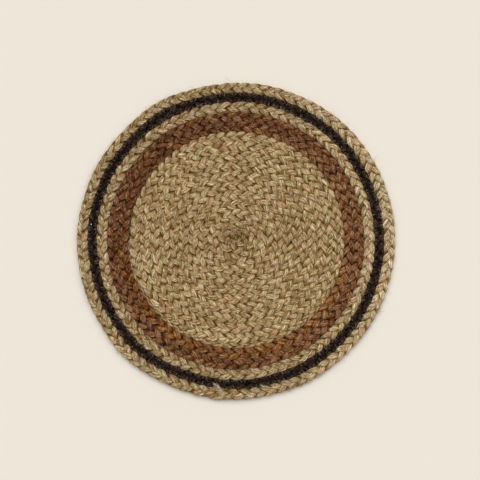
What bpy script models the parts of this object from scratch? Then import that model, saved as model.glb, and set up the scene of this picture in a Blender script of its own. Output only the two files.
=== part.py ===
"""Round chair seat pad: flat three-strand jute braid, coiled on edge-to-edge and sewn seam by seam.

The pad lies flat. The origin is under its centre, on the surface it rests on, and +Z points out of
the sitting face. Clock angles start at +Y and grow clockwise seen from above, which is the way the
braid winds outward. Every braid is wound on the one inside it: the natural field, a brown band, a
natural border, a black band and the natural outer edge.

A strand is a plain solid here: the inner, middle or outer third of its braid, swept along the coil.
"""

import math
from collections import namedtuple

import bmesh
import bpy

TAU = 2.0 * math.pi

# Driving sizes, in metres.
BRAID_THICKNESS = 0.0075
GROOVE_DEPTH = 0.0018        # how far a braid's two edges lie below its crown, on both faces
GAP = 0.0003                 # clearance between pieces that touch
EYE_RADIUS = 0.0010          # small hole left at the middle of the coil
FIELD_BRAID_WIDTH = 0.01165
BROWN_BRAID_WIDTH = 0.0123
BORDER_BRAID_WIDTH = 0.0118
BLACK_BRAID_WIDTH = 0.0112
EDGE_BRAID_WIDTH = 0.01325
THREAD_WIDTH = 0.0018        # the seam thread's bead, which lies in the groove between two turns
THREAD_HEIGHT = 0.0009
THREAD_LIFT = 0.00035        # clearance under the bead

# Turns of each braid.
FIELD_TURNS = 11
BROWN_TURNS = 2
RING_TURNS = 1

# Where each braid's two ends overlap: the clock angle of the overlap's start, and its sweep.
FIELD_SPLICE = math.radians(345.0)
FIELD_LAP = TAU
BROWN_LAP = math.radians(60.0)
BORDER_SPLICE = math.radians(208.0)
BORDER_LAP = math.radians(24.0)
BLACK_SPLICE = math.radians(326.0)
BLACK_LAP = math.radians(12.0)
EDGE_SPLICE = math.radians(178.0)
EDGE_LAP = math.radians(15.0)
TIP_SHARE = 5.0 / 24.0       # an end is cut off where it has narrowed to this share of the width

# Corners per turn. A finer braid's corners hold every corner of the coarser one inside it.
CORE_SIDES = 12
CORE_TURNS = 3
COIL_SIDES = 24
EDGE_SIDES = 48
MARK_TOLERANCE = math.radians(0.2)

STRANDS = ("a", "b", "c")
SMOOTH_ANGLE = math.radians(30.0)

# Linear colours and roughness.
NATURAL_JUTE = ((0.300, 0.198, 0.093), 0.85)
BROWN_JUTE = ((0.127, 0.056, 0.024), 0.85)
BORDER_JUTE = ((0.283, 0.191, 0.095), 0.85)
BLACK_JUTE = ((0.024, 0.015, 0.011), 0.9)
EDGE_JUTE = ((0.305, 0.212, 0.107), 0.85)
THREAD_COTTON = ((0.445, 0.342, 0.205), 0.7)

# seat_radius: the radius the braid is wound on.
# hollow, hollow_sweep: the crescent that the tail of the braid inside leaves, which this one fills.
# start: the swept angle at which the braid begins. seam_start: where it meets what it is sewn to.
# marks: clock angles where this braid, or one inside it, begins or ends.
Braid = namedtuple(
    "Braid",
    "name finish seat_radius width turns splice lap hollow hollow_sweep start seam_start sides marks",
)
NO_HOLLOW = (0.0, 1.0)


def clear_scene():
    for item in list(bpy.data.objects):
        bpy.data.objects.remove(item, do_unlink=True)


def outer_radius(braid):
    return braid.seat_radius + braid.turns * braid.width


def splice_marks(splice, lap):
    """Clock angles where a splice starts, where its two cut ends are, and where it stops."""
    tip = lap * TIP_SHARE
    return (splice, splice + tip, splice + lap - tip, splice + lap)


def field_braid():
    """The spiral at the middle. Its first turn is sewn to nothing, so its seam starts a turn later."""
    marks = splice_marks(FIELD_SPLICE, FIELD_LAP)
    start = FIELD_LAP * TIP_SHARE
    return Braid("field", NATURAL_JUTE, EYE_RADIUS, FIELD_BRAID_WIDTH, FIELD_TURNS, FIELD_SPLICE,
                 FIELD_LAP, *NO_HOLLOW, start, start + TAU, COIL_SIDES, marks)


def brown_braid(inside):
    """The brown band begins against the cut tail of the field and fills the crescent beside it."""
    seat = outer_radius(inside)
    hollow_sweep = inside.lap * TIP_SHARE
    splice = inside.splice + inside.lap - hollow_sweep
    marks = inside.marks + splice_marks(splice, BROWN_LAP)
    start = GAP / seat
    return Braid("brown_band", BROWN_JUTE, seat, BROWN_BRAID_WIDTH, BROWN_TURNS, splice, BROWN_LAP,
                 inside.width * TIP_SHARE, hollow_sweep, start, start, COIL_SIDES, marks)


def ring_braid(name, finish, inside, width, splice, lap, sides):
    """One turn of braid, whose tapered end lies outside its tapered start."""
    marks = inside.marks + splice_marks(splice, lap)
    start = lap * TIP_SHARE
    return Braid(name, finish, outer_radius(inside), width, RING_TURNS, splice, lap,
                 *NO_HOLLOW, start, start, sides, marks)


def all_braids():
    field = field_braid()
    brown = brown_braid(field)
    border = ring_braid("inner_border", BORDER_JUTE, brown, BORDER_BRAID_WIDTH,
                        BORDER_SPLICE, BORDER_LAP, COIL_SIDES)
    black = ring_braid("black_band", BLACK_JUTE, border, BLACK_BRAID_WIDTH,
                       BLACK_SPLICE, BLACK_LAP, COIL_SIDES)
    edge = ring_braid("outer_edge", EDGE_JUTE, black, EDGE_BRAID_WIDTH,
                      EDGE_SPLICE, EDGE_LAP, EDGE_SIDES)
    return (field, brown, border, black, edge)


def clock_angles(sides, marks):
    """Equal steps round the clock, and every mark that isn't on one already."""
    angles = [TAU * index / sides for index in range(sides)]
    for mark in marks:
        distances = [abs(math.remainder(mark - angle, TAU)) for angle in angles]
        if min(distances) > MARK_TOLERANCE:
            angles.append(mark % TAU)
    return angles


def braid_end(braid):
    return TAU * braid.turns + braid.lap * (1.0 - TIP_SHARE)


def swept_angles(braid, start):
    """The swept angles of a braid's corners, from a start to the braid's own end."""
    end = braid_end(braid)
    inner_coil = braid.turns > CORE_TURNS
    swept = []
    for turn in range(braid.turns + 1):
        sides = CORE_SIDES if inner_coil and turn < CORE_TURNS else braid.sides
        for angle in clock_angles(sides, braid.marks):
            past_splice = (angle - braid.splice + MARK_TOLERANCE) % TAU - MARK_TOLERANCE
            swept.append(TAU * turn + past_splice)
    inside = [value for value in swept if start + MARK_TOLERANCE < value < end - MARK_TOLERANCE]
    return [start] + sorted(inside) + [end]


def braid_edges(braid, swept):
    """Inner and outer radius of a braid once it has swept an angle from its splice."""
    turn, angle = divmod(swept, TAU)
    share = min(angle / braid.lap, 1.0)
    inner = braid.seat_radius + (turn - 1.0 + share) * braid.width
    if turn < 1.0:
        hollow_left = max(0.0, 1.0 - swept / braid.hollow_sweep)
        inner = braid.seat_radius - braid.hollow * hollow_left
    outer = braid.seat_radius + (turn + share) * braid.width
    return inner, min(outer, outer_radius(braid))


def place(radius, clock, height):
    return (radius * math.sin(clock), radius * math.cos(clock), height)


def strand_section(braid, swept, lane):
    """Four corners of one third of the braid. A narrower braid is flatter too."""
    inner, outer = braid_edges(braid, swept)
    third = (outer - inner) / len(STRANDS)
    crown_drop = GROOVE_DEPTH * (1.0 - min(1.0, (outer - inner) / braid.width))
    low_side = GROOVE_DEPTH if lane == 0 else crown_drop
    high_side = GROOVE_DEPTH if lane == len(STRANDS) - 1 else crown_drop
    radius_in = inner + lane * third + GAP / 2.0
    radius_out = inner + (lane + 1) * third - GAP / 2.0
    clock = braid.splice + swept
    return (
        place(radius_in, clock, low_side),
        place(radius_out, clock, high_side),
        place(radius_out, clock, BRAID_THICKNESS - high_side),
        place(radius_in, clock, BRAID_THICKNESS - low_side),
    )


def thread_section(braid, swept, top_face):
    """Three corners of the thread's bead, point down in the groove along the braid's inner edge."""
    inner, _ = braid_edges(braid, swept)
    clock = braid.splice + swept
    depth_low = GROOVE_DEPTH - THREAD_LIFT
    depth_high = depth_low - THREAD_HEIGHT
    corners = (
        (inner, depth_low),
        (inner + THREAD_WIDTH / 2.0, depth_high),
        (inner - THREAD_WIDTH / 2.0, depth_high),
    )
    if top_face:
        return tuple(place(radius, clock, BRAID_THICKNESS - depth) for radius, depth in corners)
    return tuple(place(radius, clock, depth) for radius, depth in corners)


def make_material(name, finish):
    colour, roughness = finish
    material = bpy.data.materials.new(name)
    material.use_nodes = True
    shader = material.node_tree.nodes["Principled BSDF"]
    shader.inputs["Base Color"].default_value = (*colour, 1.0)
    shader.inputs["Roughness"].default_value = roughness
    shader.inputs["Metallic"].default_value = 0.0
    material.diffuse_color = (*colour, 1.0)
    return material


def sweep_solid(name, sections, finish):
    """A closed solid through equal sections, capped at both ends."""
    shape = bmesh.new()
    rings = [[shape.verts.new(corner) for corner in section] for section in sections]
    count = len(rings[0])
    for ring, following in zip(rings, rings[1:]):
        for index in range(count):
            after = (index + 1) % count
            shape.faces.new((ring[index], ring[after], following[after], following[index]))
    shape.faces.new(rings[0])
    shape.faces.new(rings[-1])
    bmesh.ops.recalc_face_normals(shape, faces=shape.faces)
    mesh = bpy.data.meshes.new(name)
    shape.to_mesh(mesh)
    shape.free()
    mesh.shade_smooth()
    mesh.set_sharp_from_angle(angle=SMOOTH_ANGLE)
    mesh.materials.append(make_material(name, finish))
    solid = bpy.data.objects.new(name, mesh)
    bpy.context.scene.collection.objects.link(solid)
    return solid


def make_strands(braid):
    corners = swept_angles(braid, braid.start)
    for lane, letter in enumerate(STRANDS):
        sections = [strand_section(braid, swept, lane) for swept in corners]
        sweep_solid(f"{braid.name}_strand_{letter}", sections, braid.finish)


def make_threads(braid):
    """The needle thread above and the bobbin thread below, along the seam to what lies inside."""
    corners = swept_angles(braid, braid.seam_start)
    for label, top_face in (("needle", True), ("bobbin", False)):
        sections = [thread_section(braid, swept, top_face) for swept in corners]
        sweep_solid(f"{braid.name}_{label}_thread", sections, THREAD_COTTON)


def main():
    clear_scene()
    for braid in all_braids():
        make_strands(braid)
        make_threads(braid)


main()
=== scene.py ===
"""Looks of the braided jute seat pad: real interlaced strands, zigzag seams, loose fibres, studio.

Every strand of the pad is swept along the coil that the CAD strands hold, and crosses over and under
its two neighbours. Clock angles start at +Y and grow clockwise seen from above, the way it winds.
"""

import math
from collections import namedtuple

import bpy
import numpy as np
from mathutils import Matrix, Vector
from mathutils.bvhtree import BVHTree


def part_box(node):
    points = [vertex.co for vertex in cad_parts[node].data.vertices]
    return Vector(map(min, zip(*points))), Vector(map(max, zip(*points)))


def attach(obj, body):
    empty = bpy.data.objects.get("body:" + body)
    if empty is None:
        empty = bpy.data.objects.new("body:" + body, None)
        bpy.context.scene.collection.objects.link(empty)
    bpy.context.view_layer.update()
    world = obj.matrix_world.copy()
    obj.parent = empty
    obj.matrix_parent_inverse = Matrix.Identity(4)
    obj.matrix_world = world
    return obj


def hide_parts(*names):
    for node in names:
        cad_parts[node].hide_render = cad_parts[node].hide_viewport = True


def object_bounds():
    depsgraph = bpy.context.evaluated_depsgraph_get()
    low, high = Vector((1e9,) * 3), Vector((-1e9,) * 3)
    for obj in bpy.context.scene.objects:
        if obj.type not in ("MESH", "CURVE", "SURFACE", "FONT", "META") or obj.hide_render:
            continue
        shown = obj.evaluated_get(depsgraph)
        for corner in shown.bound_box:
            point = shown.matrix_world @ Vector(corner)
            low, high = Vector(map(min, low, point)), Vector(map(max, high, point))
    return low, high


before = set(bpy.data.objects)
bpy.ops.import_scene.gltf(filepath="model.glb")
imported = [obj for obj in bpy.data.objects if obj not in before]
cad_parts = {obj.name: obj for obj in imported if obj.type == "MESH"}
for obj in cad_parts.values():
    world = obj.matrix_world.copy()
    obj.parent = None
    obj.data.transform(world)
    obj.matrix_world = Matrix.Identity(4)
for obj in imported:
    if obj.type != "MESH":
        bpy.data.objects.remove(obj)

CAD_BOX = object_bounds()
TAU = 2.0 * math.pi
MM = 0.001

# ---------------------------------------------------------------- sizes, from the frame

THICKNESS = CAD_BOX[1].z - CAD_BOX[0].z
MIDDLE = (CAD_BOX[1].z + CAD_BOX[0].z) / 2
GAP = 0.3 * MM                         # clearance between the CAD strands of two braids
EYE_RADIUS = 0.4 * MM                  # the hole at the middle is nearly pulled shut
TIP_SHARE = 5 / 24                     # a braid is cut off where it has narrowed to this share
STRANDS = ("a", "b", "c")


def ring_radius(name):
    """How far a braid reaches from the middle of the pad."""
    low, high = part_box(f"{name}_strand_c")
    return (high.x - low.x + GAP) / 2


# seat, rim: the radius the braid is wound on, and the radius it reaches.
# hollow, hollow_sweep: the crescent that the tail of the braid inside leaves, which this one fills.
# start: the swept angle at which the braid begins.
# leaf: the length of braid from one crossing to the next on the same side.
# step: spacing of a strand's sections. sides: corners of a section.
Braid = namedtuple(
    "Braid",
    "name slot seat rim turns splice lap hollow hollow_sweep start leaf step sides seed",
)
COIL_DETAIL = (1.5 * MM, 32)           # step and sides in the close turns of the field
RING_DETAIL = (1.1 * MM, 48)


def ring(name, slot, inside, turns, splice, lap, leaf, seed, hollow=0.0, hollow_sweep=1.0, start=None):
    """A braid's sizes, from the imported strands. Splice and lap are in degrees, leaf is in mm."""
    seat = ring_radius(inside) if inside else EYE_RADIUS
    begin = math.radians(lap) * TIP_SHARE if start is None else start
    step, sides = RING_DETAIL if inside else COIL_DETAIL
    return Braid(name, slot, seat, ring_radius(name), turns, math.radians(splice), math.radians(lap),
                 hollow, hollow_sweep, begin, leaf * MM, step, sides, seed)


FIELD = ring("field", "natural_jute", None, turns=11, splice=345, lap=360, leaf=12.0, seed=11)
FIELD_WIDTH = (FIELD.rim - FIELD.seat) / FIELD.turns
BROWN_START = 0.002                    # the cut tail of the field ends this angle before it
BROWN = ring("brown_band", "brown_jute", "field", turns=2, splice=270, lap=60, leaf=13.1, seed=22,
             hollow=FIELD_WIDTH * TIP_SHARE, hollow_sweep=FIELD.lap * TIP_SHARE, start=BROWN_START)
BORDER = ring("inner_border", "natural_jute", "brown_band", turns=1, splice=208, lap=24, leaf=12.7, seed=33)
BLACK = ring("black_band", "black_jute", "inner_border", turns=1, splice=326, lap=12, leaf=12.2, seed=44)
EDGE = ring("outer_edge", "natural_jute", "black_band", turns=1, splice=178, lap=15, leaf=12.8, seed=55)
BRAIDS = (FIELD, BROWN, BORDER, BLACK, EDGE)

# Where a braid's two lapped ends make it wider and push out what lies round it: the middle of the
# bulge, how far it spreads to each side, and its height.
Bulge = namedtuple("Bulge", "braid clock spread height")
BULGES = (
    Bulge(BLACK, math.radians(332), math.radians(9), 2.0 * MM),
    Bulge(BORDER, math.radians(222), math.radians(15), 2.0 * MM),
    Bulge(EDGE, math.radians(188), math.radians(5), 1.4 * MM),
)
# The outer edge is pulled tight on its upper left and lies slack on its right: how far, and where.
EDGE_TRIM = 0.55 * MM
EDGE_OFFSET = (0.75 * MM, math.radians(120))
EDGE_OVAL = (0.90 * MM, math.radians(117))
# How far the hand-sewn coil lies off the pad's middle: at its own middle, and at the field's rim.
CORE_SHIFT = (-1.1 * MM, 1.2 * MM)
FIELD_SHIFT = (0.6 * MM, 1.2 * MM)
EYE_SHIFT = (4.6 * MM, 3.6 * MM)       # the first turn is pushed further to one side
EYE_REACH = 17 * MM
UNEVENNESS = 0.45 * MM                 # how far, and over what length, the whole coil wanders
UNEVEN_LENGTH = 0.075
UNEVEN_SEED = 5
LAP_POWER = 1.8                        # how late in a lap the width passes from one end to the other


# ---------------------------------------------------------------- helpers

def smooth(value):
    """An S-shaped rise from 0 to 1."""
    value = np.clip(value, 0.0, 1.0)
    return value * value * (3.0 - 2.0 * value)


def bell(value):
    """1 at nothing, falling to 0 on both sides."""
    return np.exp(-value * value)


def wave_noise(rng, along, length):
    """Smooth random values along a line, about -1 to 1, which change over the given length."""
    cell = along / length
    index = np.floor(cell).astype(int)
    knots = rng.uniform(-1.0, 1.0, index.max() + 3)
    part = smooth(cell - index)
    return knots[index] * (1.0 - part) + knots[index + 1] * part


PLANE_WAVES = 5
PLANE_PEAK = 3.0                       # the sum of the waves seldom passes this
WAVE_LENGTHS = (0.7, 1.4)


def plane_noise(x, y, seed, length):
    """Smooth wandering over the plane, about -1 to 1."""
    rng = np.random.default_rng(seed)
    total = np.zeros_like(x)
    for _ in range(PLANE_WAVES):
        heading = rng.uniform(0.0, TAU)
        shift = rng.uniform(0.0, TAU)
        scale = TAU / (length * rng.uniform(*WAVE_LENGTHS))
        total += np.sin((x * math.cos(heading) + y * math.sin(heading)) * scale + shift)
    return total / PLANE_PEAK


# ---------------------------------------------------------------- the coil

def braid_width(braid):
    return (braid.rim - braid.seat) / braid.turns


def braid_edges(braid, swept):
    """Inner and outer radius of a braid at its swept angles, with its two ends tapered side by side."""
    turn = np.floor(swept / TAU)
    share = np.clip((swept - turn * TAU) / braid.lap, 0.0, 1.0)
    if braid.lap < TAU:
        share = smooth(share) ** LAP_POWER
    width = braid_width(braid)
    inner = braid.seat + (turn - 1.0 + share) * width
    hollow_left = np.clip(1.0 - swept / braid.hollow_sweep, 0.0, 1.0)
    inner = np.where(turn < 1.0, braid.seat - braid.hollow * hollow_left, inner)
    outer = np.minimum(braid.seat + (turn + share) * width, braid.rim)
    return inner, outer


def share_across(braid, radius):
    """How far across a braid a radius lies: 0 on what it is wound on, 1 at its rim and beyond."""
    return np.clip((radius - braid.seat) / (braid.rim - braid.seat), 0.0, 1.0)


def swell(radius, clock):
    """A radius once the lapped joints have pushed it outward, and the outer edge has been sewn on."""
    pushed = np.array(radius, dtype=float)
    for bulge in BULGES:
        off = (clock - bulge.clock + math.pi) % TAU - math.pi
        pushed += bulge.height * bell(off / bulge.spread) * share_across(bulge.braid, radius)
    slack = EDGE_OFFSET[0] * np.cos(clock - EDGE_OFFSET[1])
    slack += EDGE_OVAL[0] * np.cos(2 * clock - EDGE_OVAL[1])
    pushed += (slack - EDGE_TRIM) * share_across(EDGE, radius)
    return pushed


def wander(x, y):
    """A hand-sewn coil isn't quite round: points move a little over the plane."""
    out = np.hypot(x, y)
    eye = bell(out / EYE_REACH)
    moved = []
    for axis, value in enumerate((x, y)):
        shifts = (CORE_SHIFT[axis], FIELD_SHIFT[axis], 0.0)
        shift = np.interp(out, (0.0, FIELD.rim, BROWN.rim), shifts) + EYE_SHIFT[axis] * eye
        moved.append(value + shift + UNEVENNESS * plane_noise(x, y, UNEVEN_SEED + axis, UNEVEN_LENGTH))
    return moved


def ground(radius, clock):
    """The place on the plane of a radius and clock angle, as the sewn coil really lies."""
    pushed = swell(radius, clock)
    return wander(pushed * np.sin(clock), pushed * np.cos(clock))


Line = namedtuple("Line", "swept along width centre ahead outward")
FINE_STEPS = 4000                      # per turn, to measure lengths along the coil


def braid_end(braid):
    return TAU * braid.turns + braid.lap * (1.0 - TIP_SHARE)


def length_along(x, y):
    """The length of a line on the plane, up to each of its points."""
    return np.concatenate(([0.0], np.cumsum(np.hypot(np.diff(x), np.diff(y)))))


def braid_line(braid):
    """The braid's middle line in even steps, its width there, and its two level directions."""
    fine = np.linspace(braid.start, braid_end(braid), FINE_STEPS * (braid.turns + 1))
    inner, outer = braid_edges(braid, fine)
    inner_x, inner_y = ground(inner, braid.splice + fine)
    outer_x, outer_y = ground(outer, braid.splice + fine)
    x, y = (inner_x + outer_x) / 2, (inner_y + outer_y) / 2
    along = length_along(x, y)
    even = np.linspace(0.0, along[-1], int(along[-1] / braid.step) + 1)
    width = np.interp(even, along, np.hypot(outer_x - inner_x, outer_y - inner_y))
    x, y = np.interp(even, along, x), np.interp(even, along, y)
    ahead = np.stack((np.gradient(x), np.gradient(y)), axis=1)
    ahead /= np.linalg.norm(ahead, axis=1)[:, None]
    outward = np.stack((-ahead[:, 1], ahead[:, 0]), axis=1)
    return Line(np.interp(even, along, fine), even, width, np.stack((x, y), axis=1), ahead, outward)


# ---------------------------------------------------------------- tubes

def tube_faces(sections, sides):
    """Quads of a tube with an even number of sides, and of the two flat caps that close it."""
    rows = np.arange(sections - 1)[:, None] * sides
    column = np.arange(sides)[None, :]
    after = (column + 1) % sides
    walls = np.stack((rows + column, rows + after, rows + sides + after, rows + sides + column), axis=2)
    near = np.arange(sides // 2 - 1)
    far = sides - 1 - near
    first = np.stack((near + 1, near, far, far - 1), axis=1)
    last = np.stack((near, near + 1, far - 1, far), axis=1) + (sections - 1) * sides
    return np.concatenate((walls.reshape(-1, 4), first, last))


STRIP_FILL = (0.04, 0.92)              # the margin beside a strip, and the strip's own share
STRIP_RUN = (0.002, 0.996)             # the same along its length


def strip_map(sections, sides, length, girth):
    """UVs of a tube, cut into strips that lie side by side and fill the square."""
    strips = max(1, round(math.sqrt(length / girth)))
    per_strip = math.ceil((sections - 1) / strips)
    row = np.repeat(np.arange(sections - 1), sides)
    column = np.tile(np.arange(sides), sections - 1)
    strip = row // per_strip
    low = (row - strip * per_strip) / per_strip
    high = (row + 1 - strip * per_strip) / per_strip
    left = (strip + STRIP_FILL[0] + STRIP_FILL[1] * column / sides) / strips
    right = (strip + STRIP_FILL[0] + STRIP_FILL[1] * (column + 1) / sides) / strips
    low, high = STRIP_RUN[0] + STRIP_RUN[1] * low, STRIP_RUN[0] + STRIP_RUN[1] * high
    corners = np.stack((left, low, right, low, right, high, left, high), axis=1)
    caps = np.zeros(((sides - 2) * 4, 2))
    return np.concatenate((corners.reshape(-1, 2), caps))


def add_attribute(mesh, name, values):
    layer = mesh.attributes.new(name, "FLOAT_VECTOR", "POINT")
    layer.data.foreach_set("vector", np.ascontiguousarray(values, dtype=np.float32).ravel())


def make_mesh(name, points, quads, corner_uvs, vectors):
    """A smooth mesh of quads, with its UVs if it has any, and a named vector for each point."""
    mesh = bpy.data.meshes.new(name)
    mesh.vertices.add(len(points))
    mesh.vertices.foreach_set("co", np.ascontiguousarray(points, dtype=np.float32).ravel())
    mesh.loops.add(len(quads) * 4)
    mesh.loops.foreach_set("vertex_index", np.ascontiguousarray(quads, dtype=np.int32).ravel())
    mesh.polygons.add(len(quads))
    mesh.polygons.foreach_set("loop_start", np.arange(0, len(quads) * 4, 4, dtype=np.int32))
    mesh.update(calc_edges=True)
    mesh.validate()
    mesh.shade_smooth()
    if corner_uvs is not None:
        layer = mesh.uv_layers.new(name="OFBake")
        layer.uv.foreach_set("vector", np.ascontiguousarray(corner_uvs, dtype=np.float32).ravel())
    for key, values in vectors.items():
        add_attribute(mesh, key, values)
    piece = bpy.data.objects.new(name, mesh)
    bpy.context.scene.collection.objects.link(piece)
    return piece


# ---------------------------------------------------------------- strands

LEAF_HOLD = 0.75                       # a leaf keeps its value over this share of a quarter turn


def leaf_values(rng, phase, low, high):
    """One random value for each visible leaf of a strand, changing only where it dives."""
    quarter = (phase - phase.min()) / (math.pi / 2)
    index = np.floor(quarter).astype(int)
    knots = rng.uniform(low, high, index.max() + 3)
    part = smooth((quarter - index - LEAF_HOLD) / (1.0 - LEAF_HOLD))
    return knots[index] * (1.0 - part) + knots[index + 1] * part


# Shares of the braid's width.
SWAY = 0.41
HALF_WIDTH = 0.355
# Shares of the pad's thickness.
RISE = 0.205
HALF_THICKNESS = 0.235
EDGE_SWELL = 0.085                     # a strand is thicker where it turns back at the braid's edge
EDGE_DROP = 0.32                       # how far the braid's edges lie below its crown
THIN_END = 0.6                         # an end that is narrowed to nothing is this thick

OVERLAP = 1.14                         # how far a braid spreads into its neighbours' turns
RIM_LOW, RIM_HIGH = 0.90, 1.03         # how far the outer edge's leaves reach, between and at their tips

BRAID_DRIFT, BRAID_DRIFT_LENGTH = 0.5, 0.055       # how the pace of the whole braid varies, in radians
STRAND_DRIFT, STRAND_DRIFT_LENGTH = 0.22, 0.02     # and of one of its strands
JITTER = 0.045                         # how far a leaf lies off its place, to the side and in height
SWING_GAIN, SWING_SOFTNESS = 1.22, 0.49            # a wave with flattened tops, still about 1 high
LEAN_IN = math.radians(20)
LEAN_OVER = math.radians(6)
LEAN_JITTER = math.radians(7)
WIDTH_RANGE = (0.84, 1.06)             # the leaves' own widths and thicknesses
THICK_RANGE = (0.92, 1.06)
LEAF_POINT = 0.06                      # how much narrower a leaf is at its ends than in its middle
CLOSING = 4 * MM                       # the length over which a cut end closes
THINNEST = 0.02                        # the size at the very end, as a share of the full size

BLUNTNESS = 2.8                        # how square a section is: 2 is an ellipse
ACROSS_HARDNESS, UP_HARDNESS = 7.0, 8.0            # how sharply a section levels off at its limits
RIDGES = 5
RIDGE_DEPTH = 0.13
RIDGE_UNEVENNESS = 0.9
TWIST_LENGTH = 0.19                    # the fibres go round the strand once in this length
TWIST_DRIFT, TWIST_DRIFT_LENGTH = 0.9, 0.03
FIBRE_STRETCH = 16.0                   # how much longer than wide the fibre's streaks are
STRAND_OFFSET = 40.0                   # keeps the streaks of the three strands apart
STRIP_GIRTH = 20 * MM
RIDGE_PAINTED_SHADE = 0.30                     # how much painted shade darkens a strand between its ridges and on its flanks
FLANK_PAINTED_SHADE = 0.60

Strand = namedtuple("Strand", "phase sway rise lean tall half_width half_thick at_edge roll")


def strand_phase(braid, line, number):
    """Where a strand is in its weave: a full turn takes it across the braid and back."""
    rng = np.random.default_rng(braid.seed)
    period = len(STRANDS) * braid.leaf
    phase = TAU * line.along / period
    phase = phase + BRAID_DRIFT * wave_noise(rng, line.along, BRAID_DRIFT_LENGTH)
    own = np.random.default_rng(braid.seed + 1 + number)
    own_drift = STRAND_DRIFT * wave_noise(own, line.along, STRAND_DRIFT_LENGTH)
    return phase + TAU * number / len(STRANDS) + own_drift


def soft_limit(value, limit, hardness):
    """A value that levels off smoothly as it nears a limit on either side."""
    return value / (1.0 + np.abs(value / limit) ** hardness) ** (1.0 / hardness)


def strand_shape(braid, line, number, rng):
    """A strand's place in its braid, its lean, size and twist, at each section."""
    phase = strand_phase(braid, line, number)
    full = np.clip(line.width / braid_width(braid), 0.0, 1.0)
    tall = THICKNESS * (THIN_END + (1.0 - THIN_END) * full)
    sway = SWAY * line.width * np.sin(phase)
    sway += JITTER * line.width * leaf_values(rng, phase, -1.0, 1.0)
    swing = np.sin(2.0 * phase)
    swing *= SWING_GAIN / np.sqrt(swing * swing + SWING_SOFTNESS)
    rise = RISE * tall * swing + JITTER * tall * leaf_values(rng, phase, -1.0, 1.0)
    lean = LEAN_IN * np.cos(3.0 * phase) + LEAN_OVER * np.cos(phase)
    lean += LEAN_JITTER * leaf_values(rng, phase, -1.0, 1.0)

    ends = np.clip(np.minimum(line.along, line.along[-1] - line.along) / CLOSING, 0.0, 1.0)
    close = np.maximum(np.sqrt(1.0 - (1.0 - ends) ** 2), THINNEST)
    half_width = HALF_WIDTH * line.width * leaf_values(rng, phase, *WIDTH_RANGE) * close
    half_width *= 1.0 - LEAF_POINT * np.cos(4.0 * phase)
    at_edge = np.sin(phase) ** 4
    half_thick = tall * (HALF_THICKNESS + EDGE_SWELL * at_edge)
    half_thick = half_thick * leaf_values(rng, phase, *THICK_RANGE) * close
    twist_drift = TWIST_DRIFT * wave_noise(rng, line.along, TWIST_DRIFT_LENGTH)
    roll = TAU * line.along / TWIST_LENGTH + twist_drift
    return Strand(phase, sway, rise, lean, tall, half_width, half_thick, at_edge, roll)


def fibre_ridges(fibre_turn):
    """1 on the crown of a bundle of fibres, falling to 0 between two bundles."""
    uneven = RIDGE_UNEVENNESS * np.sin(2.0 * fibre_turn + 2.0)
    ridge = np.abs(np.cos(RIDGES / 2 * fibre_turn + uneven))
    return 1.0 - (1.0 - ridge) ** 2


def strand_outline(braid, line, strand, turn, ridge):
    """How far across its braid, and how far up, each point of a strand's sections lies."""
    blunt = (np.abs(np.cos(turn)) ** BLUNTNESS + np.abs(np.sin(turn)) ** BLUNTNESS) ** (-1 / BLUNTNESS)
    reach = blunt * (1.0 - RIDGE_DEPTH * (1.0 - ridge))
    flat = strand.half_width[:, None] * np.cos(turn) * reach
    across = strand.sway[:, None] + flat
    up = strand.rise[:, None] + strand.half_thick[:, None] * np.sin(turn) * reach
    up = up + flat * np.tan(strand.lean)[:, None]
    half_braid = OVERLAP * 0.5 * line.width[:, None]
    if braid is EDGE:
        scallop = RIM_LOW + (RIM_HIGH - RIM_LOW) * strand.at_edge[:, None]
        half_braid = np.where(across > 0.0, half_braid / OVERLAP * scallop, half_braid)
    across = soft_limit(across, half_braid, ACROSS_HARDNESS)
    ceiling = 0.5 * strand.tall[:, None] * (1.0 - EDGE_DROP * np.abs(across / half_braid) ** 4)
    return across, soft_limit(up, ceiling, UP_HARDNESS)


def painted_crevice_shade(turn, ridge, up):
    """Where shade is painted: 1 on the crown of the pad, falling in the valleys and on the flanks of a
    strand.
    """
    edge_on = np.abs(np.cos(turn)) ** 8
    lit = (1.0 - RIDGE_PAINTED_SHADE + RIDGE_PAINTED_SHADE * ridge) * (1.0 - FLANK_PAINTED_SHADE * edge_on)
    return np.abs(up) / (THICKNESS / 2) * lit


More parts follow.
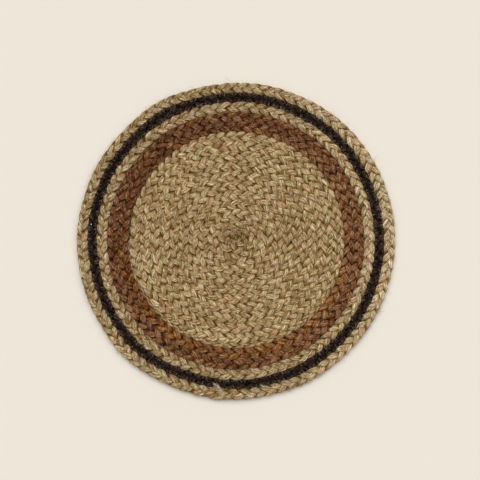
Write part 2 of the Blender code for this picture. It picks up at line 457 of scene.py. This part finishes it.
def make_strand(braid, line, number):
    """One strand of a braid: on top while it moves out from the middle, below on its way back."""
    rng = np.random.default_rng(braid.seed * 10 + number)
    strand = strand_shape(braid, line, number, rng)
    turn = TAU * np.arange(braid.sides)[None, :] / braid.sides
    fibre_turn = turn - strand.roll[:, None]
    ridge = fibre_ridges(fibre_turn)
    across, up = strand_outline(braid, line, strand, turn, ridge)

    points = np.empty(across.shape + (3,))
    points[:, :, :2] = line.centre[:, None, :] + line.outward[:, None, :] * across[:, :, None]
    points[:, :, 2] = MIDDLE + up
    streak_place = line.along[:, None] / MM / FIBRE_STRETCH + STRAND_OFFSET * number
    fibre = np.stack((
        strand.half_width[:, None] * np.cos(fibre_turn) / MM,
        strand.half_thick[:, None] * np.sin(fibre_turn) / MM,
        np.broadcast_to(streak_place, across.shape),
    ), axis=2)
    tone = leaf_values(rng, strand.phase, -1.0, 1.0) + slow_tone(braid, line)
    tint = leaf_tint(braid, line, strand.phase, rng)
    # A leaf's tone, its hue, and how much painted shade it gets where it lies low, between its ridges and
    # on its flanks.
    leaf = np.stack((
        np.broadcast_to(tone[:, None], across.shape),
        np.broadcast_to(tint[:, None], across.shape),
        painted_crevice_shade(turn, ridge, up),
    ), axis=2)
    uvs = strip_map(len(line.along), braid.sides, line.along[-1], STRIP_GIRTH)
    piece = make_mesh(f"{braid.name}_twisted_{STRANDS[number]}", points.reshape(-1, 3),
                      tube_faces(len(line.along), braid.sides), uvs,
                      {"fibre": fibre.reshape(-1, 3), "leaf": leaf.reshape(-1, 3)})
    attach(piece, "root")
    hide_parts(f"{braid.name}_strand_{STRANDS[number]}")
    return piece


# ---------------------------------------------------------------- slow changes of colour

EYE_DARKNESS = 2.5
EDGE_PALENESS, BORDER_PALENESS = 0.8, 0.6
SIDE_PALENESS = 0.65                   # how much of that both sides share, and the top and bottom lack
BROWN_PALENESS = (0.15, 0.9)           # over the whole band, and more on its inner turn
BROWN_PALE_SIDE = math.radians(102)
BROWN_COOL_SIDE = math.radians(30)
LEAF_HUE, WARM_HUE, COOL_HUE = 0.7, 0.5, 0.1       # each leaf's own, and that of the two turns
TURN_CHANGE = 0.8                      # where the first turn's colour starts to pass to the second's


def inner_turn(line):
    """1 on the first turn of a braid, passing to 0 on its second."""
    return 1.0 - smooth(line.swept / TAU - TURN_CHANGE)


def slow_tone(braid, line):
    """The outer natural rings are paler on the right, the brown band's inner turn too, the eye darker."""
    clock = braid.splice + line.swept
    if braid in (BORDER, EDGE):
        paleness = EDGE_PALENESS if braid is EDGE else BORDER_PALENESS
        return paleness * (np.sin(clock) - SIDE_PALENESS * np.cos(2.0 * clock))
    if braid is BROWN:
        amount = BROWN_PALENESS[0] + BROWN_PALENESS[1] * inner_turn(line)
        return amount * np.cos(clock - BROWN_PALE_SIDE)
    return -EYE_DARKNESS * bell(np.hypot(line.centre[:, 0], line.centre[:, 1]) / EYE_REACH)


def leaf_tint(braid, line, phase, rng):
    """Hue of each leaf, from 0 to 1. The brown band's inner turn is warmer on its lower left side."""
    tint = leaf_values(rng, phase, 0.0, 1.0)
    if braid is BROWN:
        clock = braid.splice + line.swept
        warm = 0.5 - 0.5 * np.cos(clock - BROWN_COOL_SIDE)
        first = inner_turn(line)
        turn_hue = WARM_HUE * warm * first - COOL_HUE * (1.0 - first)
        tint = np.clip(tint * LEAF_HUE + turn_hue, 0.0, 1.0)
    return tint


# ---------------------------------------------------------------- materials

def node(tree, kind, **values):
    """A shader node with its plain properties set."""
    made = tree.nodes.new(kind)
    for key, value in values.items():
        setattr(made, key, value)
    return made


def attribute_parts(tree, name):
    """A named vector of the mesh, whole and as its three numbers."""
    source = node(tree, "ShaderNodeAttribute", attribute_name=name)
    parts = node(tree, "ShaderNodeSeparateXYZ")
    tree.links.new(source.outputs["Vector"], parts.inputs["Vector"])
    return source.outputs["Vector"], parts.outputs


def noise(tree, vector, scale, detail, roughness):
    """Smooth random values from 0 to 1, seldom far from 0.5."""
    made = node(tree, "ShaderNodeTexNoise")
    made.inputs["Scale"].default_value = scale
    made.inputs["Detail"].default_value = detail
    made.inputs["Roughness"].default_value = roughness
    tree.links.new(vector, made.inputs["Vector"])
    return made.outputs["Fac"]


BUNDLE_SCALE = 0.65
BUNDLE_EDGE = 0.16                     # how far the line between two bundles spreads


def bundle_edges(tree, vector):
    """1 inside a bundle of fibres, falling to 0 along the line between two bundles: the mask of the painted
    shade there, and of the relief.
    """
    made = node(tree, "ShaderNodeTexVoronoi", feature="DISTANCE_TO_EDGE")
    made.inputs["Scale"].default_value = BUNDLE_SCALE
    tree.links.new(vector, made.inputs["Vector"])
    spread = node(tree, "ShaderNodeMapRange", interpolation_type="SMOOTHSTEP")
    spread.inputs["From Max"].default_value = BUNDLE_EDGE
    tree.links.new(made.outputs["Distance"], spread.inputs["Value"])
    return spread.outputs["Result"]


def maths(tree, operation, *values, clamp=False):
    """A sum or product of sockets and plain numbers."""
    made = node(tree, "ShaderNodeMath", operation=operation, use_clamp=clamp)
    for index, value in enumerate(values):
        if isinstance(value, (int, float)):
            made.inputs[index].default_value = value
        else:
            tree.links.new(value, made.inputs[index])
    return made.outputs["Value"]


def off_middle(tree, value, weight):
    """How far a noise value is from its middle, times a weight."""
    return maths(tree, "MULTIPLY", maths(tree, "SUBTRACT", value, 0.5), weight)


def ramp(tree, factor, stops):
    """A colour for each value, from two stops or more."""
    made = node(tree, "ShaderNodeValToRGB")
    elements = made.color_ramp.elements
    while len(elements) < len(stops):
        elements.new(0.5)
    for element, (place, colour) in zip(elements, stops):
        element.position = place
        element.color = (*colour, 1.0)
    tree.links.new(factor, made.inputs["Fac"])
    return made.outputs["Color"]


MIX_FACTOR, MIX_FIRST, MIX_SECOND, MIX_RESULT = 0, 6, 7, 2         # the mix node's colour sockets


def multiply(tree, first, second):
    """The product of two colours."""
    made = node(tree, "ShaderNodeMix", data_type="RGBA", blend_type="MULTIPLY")
    made.inputs[MIX_FACTOR].default_value = 1.0
    tree.links.new(first, made.inputs[MIX_FIRST])
    tree.links.new(second, made.inputs[MIX_SECOND])
    return made.outputs[MIX_RESULT]


def linear(red, green, blue):
    """Linear values of a colour given as the eye sees it, 0 to 255."""
    seen = (value / 255 for value in (red, green, blue))
    return tuple(((c + 0.055) / 1.055) ** 2.4 if c > 0.04045 else c / 12.92 for c in seen)


def toned(shades, gain):
    """The same shades with their red, green and blue multiplied."""
    return tuple((place, tuple(c * g for c, g in zip(colour, gain))) for place, colour in shades)


# Scale, detail and roughness of the noises.
STREAKS = (1.0, 4.0, 0.68)
FINE_FIBRES = (4.0, 2.0, 0.6)
BLOTCHES = (0.35, 2.0, 0.5)
STREAK_GAIN, STREAK_BASE = 2.0, -0.50
BLOTCH_WEIGHT = 0.5
ROUGH_GAIN, ROUGH_BASE = 0.3, 0.62
STREAK_RELIEF, FINE_RELIEF, BUNDLE_RELIEF = 0.4, 0.2, 0.6
BUMP_STRENGTH = 0.8
BUMP_HEIGHT = 0.5 * MM


def fibre_relief(tree, streak, fine, bundle):
    """The fine relief of the fibres, as a normal."""
    relief = maths(tree, "ADD", maths(tree, "MULTIPLY", streak, STREAK_RELIEF),
                   maths(tree, "MULTIPLY", fine, FINE_RELIEF))
    relief = maths(tree, "ADD", relief, maths(tree, "MULTIPLY", bundle, BUNDLE_RELIEF))
    bump = node(tree, "ShaderNodeBump")
    bump.inputs["Strength"].default_value = BUMP_STRENGTH
    bump.inputs["Distance"].default_value = BUMP_HEIGHT
    tree.links.new(relief, bump.inputs["Height"])
    return bump.outputs["Normal"]


def jute_material(name, shades, tints, painted_crevice_stops, painted_gap_stops, tone_weight, grain, gloss=0.12):
    """Matt bast fibre: streaks along the strand, a tone and a hue for each leaf, painted shade in its
    crevices and between its fibre bundles.
    """
    material = bpy.data.materials.new(name)
    material.use_nodes = True
    tree = material.node_tree
    shader = tree.nodes["Principled BSDF"]
    fibre, _ = attribute_parts(tree, "fibre")
    _, (tone, tint, shade) = attribute_parts(tree, "leaf")
    streak = noise(tree, fibre, *STREAKS)
    fine = noise(tree, fibre, *FINE_FIBRES)
    blotch = noise(tree, fibre, *BLOTCHES)
    bundle = bundle_edges(tree, fibre)
    value = maths(tree, "MULTIPLY_ADD", streak, STREAK_GAIN, STREAK_BASE)
    value = maths(tree, "ADD", value, off_middle(tree, fine, grain))
    value = maths(tree, "ADD", value, maths(tree, "MULTIPLY", tone, tone_weight))
    value = maths(tree, "ADD", value, off_middle(tree, blotch, BLOTCH_WEIGHT), clamp=True)
    colour = ramp(tree, value, shades)
    # Painted shade: the crevice ramp darkens low, grooved and edge-on parts of a strand, the gap ramp the
    # lines between fibre bundles.
    for factor, stops in ((tint, tints), (shade, painted_crevice_stops), (bundle, painted_gap_stops)):
        colour = multiply(tree, colour, ramp(tree, factor, stops))
    tree.links.new(colour, shader.inputs["Base Color"])
    rough = maths(tree, "MULTIPLY_ADD", fine, ROUGH_GAIN, ROUGH_BASE)
    tree.links.new(rough, shader.inputs["Roughness"])
    shader.inputs["Specular IOR Level"].default_value = gloss
    tree.links.new(fibre_relief(tree, streak, fine, bundle), shader.inputs["Normal"])
    return material


# Stops of colour ramps: a place from 0 to 1, and a colour that multiplies the jute's own.
# The crevice ramps paint shade: darker where a strand lies low, between its ridges and on its flanks.
PAINTED_CREVICE_SHADE = ((0.1, (0.40, 0.27, 0.07)), (0.38, (0.88, 0.79, 0.60)), (0.60, (1.0, 1.0, 1.0)))
DYED_PAINTED_CREVICE_SHADE = ((0.1, (0.20, 0.07, 0.01)), (0.42, (0.74, 0.56, 0.36)), (0.70, (1.0, 1.0, 1.0)))
# The bundle ramps paint shade in the lines between fibre bundles.
BUNDLE_GAP_PAINTED_SHADE = ((0.0, (0.55, 0.46, 0.33)), (1.0, (1.0, 1.0, 1.0)))
DYED_BUNDLE_GAP_PAINTED_SHADE = ((0.0, (0.50, 0.32, 0.16)), (1.0, (1.0, 1.0, 1.0)))
PLAIN = ((0.0, (1.0, 1.0, 1.0)), (1.0, (1.0, 1.0, 1.0)))
NATURAL_TINTS = (
    (0.0, (0.95, 1.01, 0.93)), (0.3, (0.985, 1.0, 0.97)), (0.65, (1.0, 1.0, 1.0)),
    (0.86, (1.03, 0.985, 1.02)), (1.0, (1.10, 0.97, 0.92)),
)


def natural_jute(name, gain, grain):
    """Undyed jute. Each ring is another batch, with its own gain and grain."""
    shades = ((0.08, linear(106, 80, 46)), (0.3, linear(142, 117, 80)), (0.55, linear(168, 145, 110)),
              (0.78, linear(186, 166, 134)), (0.95, linear(212, 195, 166)))
    return jute_material(name, toned(shades, gain), NATURAL_TINTS, PAINTED_CREVICE_SHADE, BUNDLE_GAP_PAINTED_SHADE,
                         tone_weight=0.13, grain=grain)


def brown_jute():
    shades = ((0.08, linear(68, 36, 10)), (0.3, linear(106, 68, 35)), (0.55, linear(134, 94, 59)),
              (0.8, linear(158, 120, 84)), (0.96, linear(190, 152, 118)))
    tints = ((0.0, (0.86, 0.84, 0.98)), (0.3, (0.95, 0.93, 1.0)), (0.6, (1.0, 1.0, 1.0)),
             (0.82, (1.12, 1.06, 0.88)), (1.0, (1.24, 1.14, 0.78)))
    shades = toned(shades, (1.03, 0.99, 0.90))
    return jute_material("brown_jute", shades, tints, DYED_PAINTED_CREVICE_SHADE, DYED_BUNDLE_GAP_PAINTED_SHADE,
                         tone_weight=0.18, grain=3.2)


def black_jute():
    shades = ((0.1, linear(13, 5, 3)), (0.4, linear(33, 22, 18)), (0.7, linear(56, 43, 36)),
              (0.95, linear(116, 98, 84)))
    tints = ((0.0, (0.9, 1.0, 0.95)), (0.4, (1.0, 1.0, 1.0)), (0.7, (1.0, 0.93, 1.02)),
             (1.0, (1.15, 0.95, 0.9)))
    shades = toned(shades, (0.50, 0.46, 0.50))
    return jute_material("black_jute", shades, tints, DYED_PAINTED_CREVICE_SHADE, DYED_BUNDLE_GAP_PAINTED_SHADE,
                         tone_weight=0.14, grain=4.4, gloss=0.10)


def plain_thread(name, shades, tone_weight, grain):
    """Thread or loose fibre: too thin to show hues, or the painted shade of crevices and bundle lines."""
    return jute_material(name, shades, PLAIN, PLAIN, PLAIN, tone_weight, grain)


def seam_cotton():
    shades = ((0.1, linear(104, 86, 64)), (0.5, linear(136, 116, 90)), (0.9, linear(168, 148, 120)))
    return plain_thread("seam_thread", shades, tone_weight=0.1, grain=1.0)


def knot_cotton():
    shades = ((0.1, linear(214, 206, 192)), (0.9, linear(246, 242, 234)))
    return plain_thread("knot_thread", shades, tone_weight=0.1, grain=1.0)


def frayed_jute():
    shades = ((0.1, linear(172, 132, 94)), (0.5, linear(232, 202, 166)), (0.9, linear(255, 240, 214)))
    return plain_thread("frayed_jute", shades, tone_weight=0.30, grain=1.5)


# ---------------------------------------------------------------- seams

STITCH_LENGTH = 5.0 * MM
STITCH_REACH = 3.6 * MM                # how far a stitch reaches to each side of the seam
HOLE_JITTER = 0.35                     # in millimetres
REACH_RANGE = (0.85, 1.1)
LEG_POINTS = 9                         # points of the thread from one needle hole to the next
HOLE_SPREAD = 0.08                     # the share of a leg that a needle hole takes
HOLE_DEPTH = 0.55                      # how far the thread dips there, as a share of the strand's height
THREAD_RADIUS = 0.15 * MM
THREAD_STAND = 0.35                    # how much of its radius the thread's middle is above the jute
THREAD_SLACK = (0.25, 0.5, 0.25)       # how the taut thread bridges what lies between two points
THREAD_SIDES = 6
LEAST_RADIUS = 0.5 * MM                # the nearest that a stitch comes to the middle of the eye


def height_at(surface, x, y, sign):
    """Height of the strands under a place, from above (1) or from below (-1). None beside the pad."""
    start = Vector((x, y, MIDDLE + sign * 3 * THICKNESS))
    hit = surface.ray_cast(start, Vector((0, 0, -sign)))[0]
    return hit.z if hit else None


def zigzag(length, rng):
    """The thread's place along the seam and its offset from it, and how deep in a hole it is."""
    holes = np.arange(0.0, length, STITCH_LENGTH / 2)
    holes = holes + rng.uniform(-HOLE_JITTER, HOLE_JITTER, len(holes)) * MM
    reach = STITCH_REACH * rng.uniform(*REACH_RANGE, len(holes))
    reach *= np.where(np.arange(len(holes)) % 2 == 0, 1.0, -1.0)
    part = np.linspace(0.0, 1.0, LEG_POINTS, endpoint=False)
    place = (holes[:-1, None] * (1 - part) + holes[1:, None] * part).ravel()
    offset = (reach[:-1, None] * (1 - part) + reach[1:, None] * part).ravel()
    hole = np.tile(bell(np.minimum(part, 1 - part) / HOLE_SPREAD), len(holes) - 1)
    return place, offset, hole


def seam_points(braid, surface, top_face, seed):
    """A zigzag over the seam to what the braid is wound on, laid on the strands under it."""
    rng = np.random.default_rng(seed)
    first = braid.start + (TAU if braid is FIELD else 0.0)
    fine = np.linspace(first, braid_end(braid), FINE_STEPS * (braid.turns + 1))
    seam, _ = braid_edges(braid, fine)
    along = np.concatenate(([0.0], np.cumsum(seam[1:] * np.diff(fine))))
    place, offset, hole = zigzag(along[-1], rng)
    radius = np.maximum(np.interp(place, along, seam) + offset, LEAST_RADIUS)
    x, y = ground(radius, braid.splice + np.interp(place, along, fine))
    sign = 1.0 if top_face else -1.0
    height = np.empty(len(x))
    last = MIDDLE
    for index in range(len(x)):
        found = height_at(surface, x[index], y[index], sign)
        last = last if found is None else found
        height[index] = last
    depth = HOLE_DEPTH * (height - MIDDLE) * hole
    taut = np.convolve(np.pad(height, 1, mode="edge"), THREAD_SLACK, mode="valid")
    pulled = np.where(sign > 0, np.maximum(height, taut), np.minimum(height, taut))
    height = pulled - depth + sign * THREAD_STAND * THREAD_RADIUS
    height = np.maximum(height, CAD_BOX[0].z + THREAD_RADIUS)
    return np.stack((x, y, height), axis=1)


TINY = 1e-12
POINTED = 0.1                          # the radius of a tube's ends, as a share of its own
TUBE_OFFSET = 17.0                     # keeps the streaks of different tubes apart
PLAIN_LOOK = (0.0, 0.5, 1.0)           # middle tone and hue, no painted shade


def tube_points(path, radius, sides):
    """Rows of points round a path that isn't upright, narrowed at both ends."""
    ahead = np.gradient(path, axis=0)
    ahead /= np.linalg.norm(ahead, axis=1)[:, None] + TINY
    side = np.cross(ahead, np.array((0.0, 0.0, 1.0)))
    side /= np.linalg.norm(side, axis=1)[:, None] + TINY
    lift = np.cross(side, ahead)
    size = np.full(len(path), radius)
    size[0] = size[-1] = radius * POINTED
    turn = (TAU * np.arange(sides) / sides)[None, :, None]
    rim = side[:, None, :] * np.cos(turn) + lift[:, None, :] * np.sin(turn)
    return (path[:, None, :] + rim * size[:, None, None]).reshape(-1, 3)


def tube_fibre(path, sides, number):
    """The place of a tube's points on its own thread: round it, and along it in millimetres."""
    turn = TAU * np.arange(sides) / sides
    shape = (len(path), sides)
    step = np.concatenate(([0.0], np.cumsum(np.linalg.norm(np.diff(path, axis=0), axis=1))))
    along = step[:, None] / MM + TUBE_OFFSET * number
    parts = (np.cos(turn)[None, :], np.sin(turn)[None, :], along)
    return np.stack([np.broadcast_to(part, shape) for part in parts], axis=2).reshape(-1, 3)


def round_tube(name, paths, radii, sides, looks=None):
    """Plain round tubes along several paths, in one mesh. looks: tone, hue and painted shade of each."""
    points, quads, fibres, leaves = [], [], [], []
    count = 0
    for number, path in enumerate(paths):
        points.append(tube_points(path, radii[number], sides))
        quads.append(tube_faces(len(path), sides) + count)
        fibres.append(tube_fibre(path, sides, number))
        look = looks[number] if looks is not None else PLAIN_LOOK
        leaves.append(np.broadcast_to(np.array(look), (len(path) * sides, 3)))
        count += len(path) * sides
    return make_mesh(name, np.concatenate(points), np.concatenate(quads), None,
                     {"fibre": np.concatenate(fibres), "leaf": np.concatenate(leaves)})


def make_seams(surface, material):
    """The needle thread above and the bobbin thread below, over each braid's inner seam."""
    for braid in BRAIDS:
        for label, top_face in (("needle", True), ("bobbin", False)):
            path = seam_points(braid, surface, top_face, braid.seed * 7 + top_face)
            piece = round_tube(f"{braid.name}_{label}_zigzag", [path], [THREAD_RADIUS], THREAD_SIDES)
            piece.data.materials.append(material)
            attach(piece, "root")
            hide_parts(f"{braid.name}_{label}_thread")


# ---------------------------------------------------------------- loose fibres

FIBRE_RADIUS = 0.07 * MM
FIBRE_POINTS = 8
FIBRE_SIDES = 4
FIBRE_STAND = 0.4                      # how much of its radius a fibre's middle is above the jute
FIBRE_SLACK = (0.3, 0.4, 0.3)
FIBRE_FALL = 0.35                      # how fast a fibre that reaches past the pad falls to its middle
LOOSE_FIBRES = {FIELD: 900, BROWN: 900, BORDER: 220, BLACK: 900, EDGE: 300}
LOOSE_LENGTHS = (4.0, 13.0)            # lengths and arches of fibres in millimetres
LOOSE_ARCHES = (0.0, 0.5)
LOOSE_SLANTS = (0.1, 0.9)              # angles to the braid, and the spread of bends, in radians
LOOSE_BEND = 0.5
RIM_FIBRES = 130
RIM_LENGTHS = (3.0, 7.0)
RIM_SLANTS = (0.5, 1.3)
RIM_BEND = 0.6
WHISKERS = 300                         # on each side of the black band
WHISKER_LENGTHS = (3.0, 5.5)
WHISKER_ARCHES = (0.1, 0.5)
WHISKER_SLANT = 0.45
WHISKER_BEND = 0.4
WHISKERS_ABOVE = 0.7                   # the share of them on the upper face
WHISKER_THICKNESS = 1.7                # times the other fibres'
PALEST = 1.5                           # tone of the palest fibres, and of those on the dyed braids
PALEST_ON_DYED = 5.0


def fibre_path(surface, x, y, heading, length, bend, arch, top_face):
    """A thin curved fibre that lies on the strands and arches a little off them."""
    part = np.linspace(0.0, 1.0, FIBRE_POINTS)
    turned = heading + bend * part
    step = length / (FIBRE_POINTS - 1)
    xs = x + np.concatenate(([0.0], np.cumsum(np.cos(turned[:-1]) * step)))
    ys = y + np.concatenate(([0.0], np.cumsum(np.sin(turned[:-1]) * step)))
    sign = 1.0 if top_face else -1.0
    heights = []
    last = MIDDLE
    for place_x, place_y in zip(xs, ys):
        found = height_at(surface, place_x, place_y, sign)
        last = last + (MIDDLE - last) * FIBRE_FALL if found is None else found
        heights.append(last)
    heights = np.array(heights)
    lifted = np.convolve(np.pad(heights, 1, mode="edge"), FIBRE_SLACK, mode="valid")
    heights = np.maximum(heights * sign, lifted * sign) * sign
    heights += sign * (arch * np.sin(math.pi * part) + FIBRE_STAND * FIBRE_RADIUS)
    heights = np.maximum(heights, CAD_BOX[0].z + 2 * FIBRE_RADIUS)
    return np.stack((xs, ys, heights), axis=1)


def one_place(radius, clock):
    """The place on the plane of one radius and clock angle."""
    x, y = ground(np.array([radius]), np.array([clock]))
    return np.array((x[0], y[0]))


def loose_fibre_paths(braid, surface, count, rng):
    """Fibres that have worked loose and lie across the leaves of a braid, on both faces."""
    paths = []
    for index in range(count):
        radius = rng.uniform(braid.seat + 1.0 * MM, braid.rim - 0.5 * MM)
        clock = rng.uniform(0.0, TAU)
        x, y = one_place(radius, clock)
        heading = -clock + rng.choice((-1, 1)) * rng.uniform(*LOOSE_SLANTS) + math.pi * rng.integers(2)
        length = rng.uniform(*LOOSE_LENGTHS) * MM
        paths.append(fibre_path(surface, x, y, heading, length, rng.normal(0.0, LOOSE_BEND),
                                rng.uniform(*LOOSE_ARCHES) * MM, index % 2 == 0))
    return paths


def rim_fibre_paths(surface, rng):
    """Fibres that stand out from the pad's outer edge."""
    paths = []
    for _ in range(RIM_FIBRES):
        clock = rng.uniform(0.0, TAU)
        x, y = one_place(EDGE.rim - 1.5 * MM, clock)
        outward = math.pi / 2 - clock
        heading = outward + rng.choice((-1, 1)) * rng.uniform(*RIM_SLANTS)
        paths.append(fibre_path(surface, x, y, heading, rng.uniform(*RIM_LENGTHS) * MM,
                                rng.normal(0.0, RIM_BEND), 0.0, rng.random() < 0.5))
    return paths


def whisker_paths(braid, surface, rng):
    """Pale fibres of a natural ring, caught in its seam, that reach over the black band beside it."""
    paths = []
    outside = braid is EDGE
    seam = BLACK.rim if outside else BLACK.seat
    for _ in range(WHISKERS):
        clock = rng.uniform(0.0, TAU)
        inset = rng.uniform(-1.0, 0.5) * MM
        x, y = one_place(seam - inset if outside else seam + inset, clock)
        outward = math.pi / 2 - clock
        heading = outward + (math.pi if outside else 0.0) + rng.normal(0.0, WHISKER_SLANT)
        paths.append(fibre_path(surface, x, y, heading, rng.uniform(*WHISKER_LENGTHS) * MM,
                                rng.normal(0.0, WHISKER_BEND), rng.uniform(*WHISKER_ARCHES) * MM,
                                rng.random() < WHISKERS_ABOVE))
    return paths


def make_loose_fibres(surface, materials):
    """Each braid's own loose fibres, with those on the rim and the whiskers over the black band."""
    for braid in BRAIDS:
        rng = np.random.default_rng(braid.seed * 3)
        paths = loose_fibre_paths(braid, surface, LOOSE_FIBRES[braid], rng)
        if braid is EDGE:
            paths += rim_fibre_paths(surface, rng)
        radii = [FIBRE_RADIUS] * len(paths)
        if braid in (BORDER, EDGE):
            whiskers = whisker_paths(braid, surface, rng)
            paths += whiskers
            radii += [WHISKER_THICKNESS * FIBRE_RADIUS] * len(whiskers)
        palest = PALEST_ON_DYED if braid in (BROWN, BLACK) else PALEST
        looks = [(rng.uniform(-1.0, palest), rng.uniform(0.0, 1.0), 1.0) for _ in paths]
        piece = round_tube(f"{braid.name}_loose_fibres", paths, radii, FIBRE_SIDES, looks)
        piece.data.materials.append(materials[braid.name])
        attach(piece, "root")


# ---------------------------------------------------------------- frayed ends and the thread's knot

# start, end: how far out from the black band's rim and at what clock angle, in degrees.
Tuft = namedtuple("Tuft", "name slot start end fibres spread")
TUFTS = (
    Tuft("outer_edge_frayed_end", "natural_jute", (3.2 * MM, 185.2), (-3.8 * MM, 188.6), 64, 1.7 * MM),
    Tuft("outer_edge_frayed_wisp", "natural_jute", (1.5 * MM, 168.6), (-2.0 * MM, 170.2), 14, 0.8 * MM),
)
TUFT_SEED = 99
TUFT_ROOT = 0.35                       # how wide a tuft is at its root, as a share of its tip
TUFT_LENGTHS = (0.55, 1.1)
TUFT_BEND = 0.35
TUFT_ARCHES = (0.2, 1.1)
TUFT_FIBRE_RADIUS = 0.13 * MM
KNOT_PLACE = (-3.9 * MM, 276.5)        # out from the black band's rim, and clock angle
KNOT_RADIUS = 0.55 * MM
KNOT_TURNS = 3.0
KNOT_WAVES = 1.5                       # the thread goes in and out, up and down so often in a turn
KNOT_LOOSENESS = 0.35
KNOT_LIFT = 1.2
KNOT_THREAD_RADIUS = 0.28 * MM
KNOT_SIDES = 8
KNOT_POINTS = 60


def beside_black(place):
    """The place on the plane of a distance out from the black band's rim, at a clock angle."""
    return one_place(BLACK.rim + place[0], math.radians(place[1]))


def make_tufts(surface, material):
    """Frayed ends of the cut braids, which lie over the strands beside them."""
    rng = np.random.default_rng(TUFT_SEED)
    for tuft in TUFTS:
        start, end = beside_black(tuft.start), beside_black(tuft.end)
        paths = []
        for _ in range(tuft.fibres):
            first = start + rng.normal(0.0, TUFT_ROOT * tuft.spread, 2)
            last = start + (end - start) * rng.uniform(*TUFT_LENGTHS) + rng.normal(0.0, tuft.spread, 2)
            heading = math.atan2(last[1] - first[1], last[0] - first[0])
            bend = rng.normal(0.0, TUFT_BEND)
            paths.append(fibre_path(surface, first[0], first[1], heading - bend / 2,
                                    math.dist(first, last), bend, rng.uniform(*TUFT_ARCHES) * MM, True))
        looks = [(rng.uniform(-1.0, 2.0), rng.uniform(0.4, 1.0), 1.0) for _ in paths]
        piece = round_tube(tuft.name, paths, [TUFT_FIBRE_RADIUS] * len(paths), FIBRE_SIDES, looks)
        piece.data.materials.append(material)
        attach(piece, "root")


def make_knot(surface, material):
    """The knot that ends the seam thread, left lying on the black band."""
    x, y = beside_black(KNOT_PLACE)
    turn = np.linspace(0.0, KNOT_TURNS * TAU, KNOT_POINTS)
    radius = KNOT_RADIUS * (1.0 + KNOT_LOOSENESS * np.cos(turn * KNOT_WAVES))
    lift = KNOT_THREAD_RADIUS * (KNOT_LIFT + KNOT_LIFT * np.sin(turn * KNOT_WAVES))
    height = height_at(surface, x, y, 1.0) + lift
    path = np.stack((x + radius * np.cos(turn), y + radius * np.sin(turn), height), axis=1)
    piece = round_tube("black_band_thread_knot", [path], [KNOT_THREAD_RADIUS], KNOT_SIDES)
    piece.data.materials.append(material)
    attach(piece, "root")


# ---------------------------------------------------------------- studio

FLOOR_SIZE = 40.0
FLOOR_GAP = 0.2 * MM
FLOOR_COLOUR = linear(238, 230, 217)
WORLD_STRENGTH = 0.30
# name, direction towards the sun, strength, and the angle in degrees that its light comes from.
SUNS = (
    ("key", (-0.45, 0.85, 1.5), 1.315, 50),
    ("fill", (0.55, 0.65, 1.6), 1.235, 70),
)
CAMERA_HEIGHT = 1.8
FRAME_WIDTH = 572 * MM                 # what the camera takes in at the height of the sitting face
CAMERA_PLACE = (5.2 * MM, 0.95 * MM)


def make_floor():
    """A plain pale floor, just under the pad."""
    bpy.ops.mesh.primitive_plane_add(size=FLOOR_SIZE, location=(0, 0, CAD_BOX[0].z - FLOOR_GAP))
    floor = bpy.context.object
    floor.name = "studio_floor"
    material = bpy.data.materials.new("studio_floor")
    material.use_nodes = True
    shader = material.node_tree.nodes["Principled BSDF"]
    shader.inputs["Base Color"].default_value = (*FLOOR_COLOUR, 1.0)
    shader.inputs["Roughness"].default_value = 0.9
    shader.inputs["Specular IOR Level"].default_value = 0.0
    floor.data.materials.append(material)


def make_light(name, direction, strength, spread):
    """A soft sun."""
    light = bpy.data.lights.new(name, "SUN")
    light.energy = strength
    light.angle = math.radians(spread)
    lamp = bpy.data.objects.new(name, light)
    lamp.rotation_mode = "QUATERNION"
    lamp.rotation_quaternion = Vector(direction).to_track_quat("Z", "Y")
    bpy.context.scene.collection.objects.link(lamp)


def make_world(strength):
    """Even white light from all round."""
    world = bpy.data.worlds.new("studio")
    world.use_nodes = True
    background = world.node_tree.nodes["Background"]
    background.inputs["Color"].default_value = (1.0, 1.0, 1.0, 1.0)
    background.inputs["Strength"].default_value = strength
    bpy.context.scene.world = world


def make_camera():
    """Looks straight down on the pad."""
    data = bpy.data.cameras.new("camera")
    data.sensor_width = 36.0
    data.lens = data.sensor_width * (CAMERA_HEIGHT - THICKNESS) / FRAME_WIDTH
    camera = bpy.data.objects.new("camera", data)
    camera.location = (CAMERA_PLACE[0], CAMERA_PLACE[1], CAMERA_HEIGHT)
    bpy.context.scene.collection.objects.link(camera)
    bpy.context.scene.camera = camera


def braid_materials():
    """The jute of each braid, by the braid's name."""
    return {
        "field": natural_jute("field_jute", (1.41, 1.40, 1.31), 2.0),
        "brown_band": brown_jute(),
        "inner_border": natural_jute("border_jute", (1.36, 1.38, 1.37), 2.6),
        "black_band": black_jute(),
        "outer_edge": natural_jute("edge_jute", (1.39, 1.42, 1.43), 3.0),
    }


def make_strands(materials):
    """Every strand, and one surface of them all, on which threads and fibres are laid."""
    points, faces, count = [], [], 0
    for braid in BRAIDS:
        line = braid_line(braid)
        for number in range(len(STRANDS)):
            piece = make_strand(braid, line, number)
            piece.data.materials.append(materials[braid.name])
            places = np.empty(len(piece.data.vertices) * 3, dtype=np.float32)
            piece.data.vertices.foreach_get("co", places)
            points.append(places.reshape(-1, 3))
            faces.append(tube_faces(len(line.along), braid.sides) + count)
            count += len(points[-1])
    return BVHTree.FromPolygons(np.concatenate(points).tolist(), np.concatenate(faces).tolist())


def main():
    bpy.context.scene.view_settings.view_transform = "Standard"
    materials = braid_materials()
    surface = make_strands(materials)
    make_seams(surface, seam_cotton())
    make_loose_fibres(surface, materials)
    make_tufts(surface, frayed_jute())
    make_knot(surface, knot_cotton())
    make_floor()
    make_world(WORLD_STRENGTH)
    for name, direction, strength, spread in SUNS:
        make_light(name, direction, strength, spread)
    make_camera()


main()
